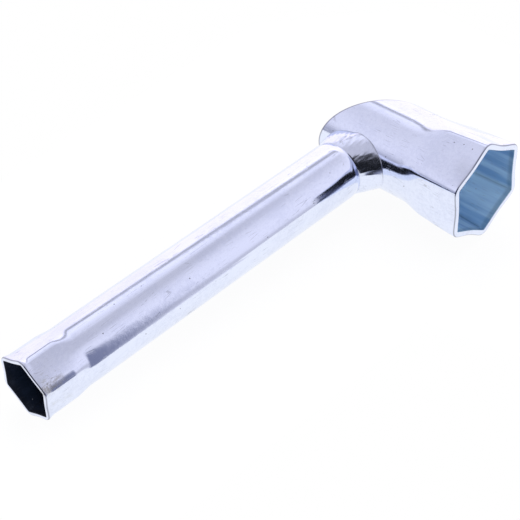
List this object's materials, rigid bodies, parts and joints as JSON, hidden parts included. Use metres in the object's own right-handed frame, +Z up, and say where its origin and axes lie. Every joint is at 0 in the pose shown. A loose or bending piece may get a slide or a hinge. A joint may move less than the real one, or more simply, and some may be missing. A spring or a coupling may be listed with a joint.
{
  "type": "spark plug wrench",
  "caption": "Angled tube wrench of zinc plated steel: a short head with a large hexagon socket for spark plugs, welded to a long tube handle that ends in a small hexagon socket for nuts",
  "frame": {"origin": "middle of the bounding box, at the height of the bench that the wrench lies on", "axes": "+X runs with the head towards the mouth of the plug socket, which tips up 6.4 degrees as the wrench lies, -Y runs with the handle towards the nut socket, and +Z is up from the bench"},
  "size_m": [0.0464, 0.129, 0.0293],
  "materials": {
    "head_zinc": "bright zinc plate with a bluish tint, fine scratches",
    "handle_zinc": "bright zinc plate with a bluish tint, fine scratches",
    "weld_zinc": "zinc plate over a rippled weld"
  },
  "bodies": {
    "root": {"head_tube": "head_zinc", "handle_tube": "handle_zinc", "weld_bead": "weld_zinc"}
  },
  "joints": []
}
